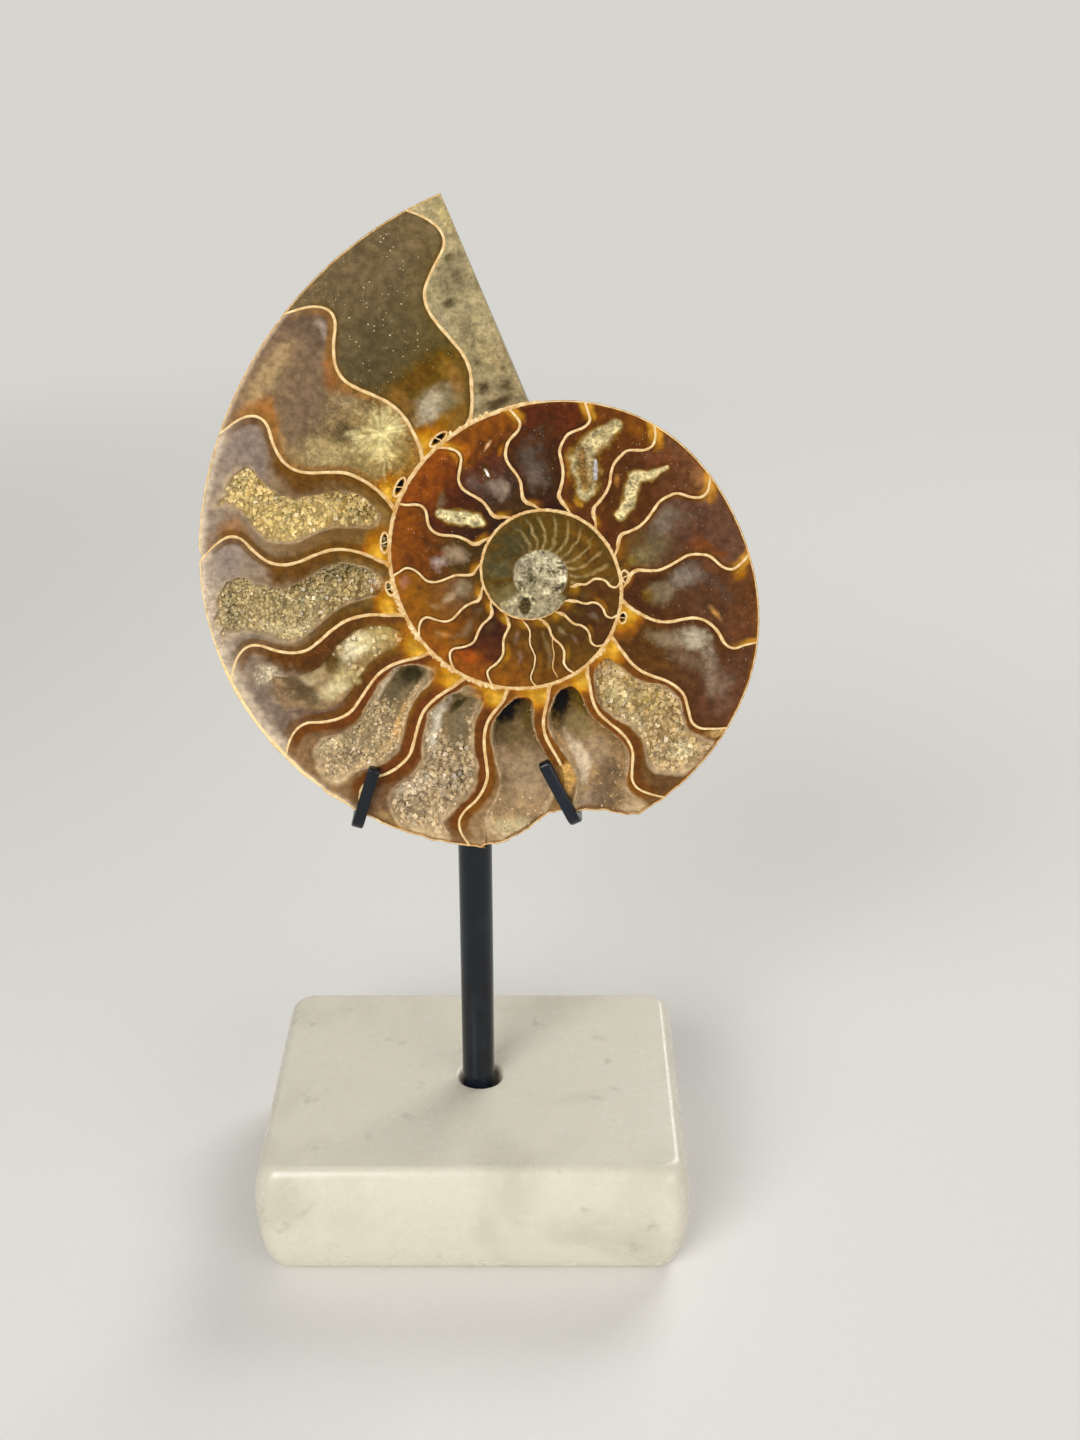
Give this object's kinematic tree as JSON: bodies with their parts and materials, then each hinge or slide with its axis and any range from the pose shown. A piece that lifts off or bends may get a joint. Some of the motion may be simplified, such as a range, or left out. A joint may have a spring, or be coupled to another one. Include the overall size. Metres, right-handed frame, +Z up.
{
  "type": "ammonite fossil half on a stand",
  "caption": "Sawn and polished half of a fossil ammonite, showing its chambered spiral, held upright by a black prong cradle on a post set in a rounded marble block.",
  "frame": {"origin": "middle of the marble block's flat underside, on the surface that it stands on", "axes": "+Z up, the shell's polished face looks along -Y, +X to the right of someone who faces it"},
  "size_m": [0.1198, 0.08, 0.249],
  "materials": {
    "fossil": "polished",
    "black_paint": "gloss",
    "marble": "satin polished"
  },
  "bodies": {
    "root": {"ammonite_half": "fossil", "cradle_bar": "black_paint", "post": "black_paint", "marble_base": "marble"}
  },
  "joints": []
}
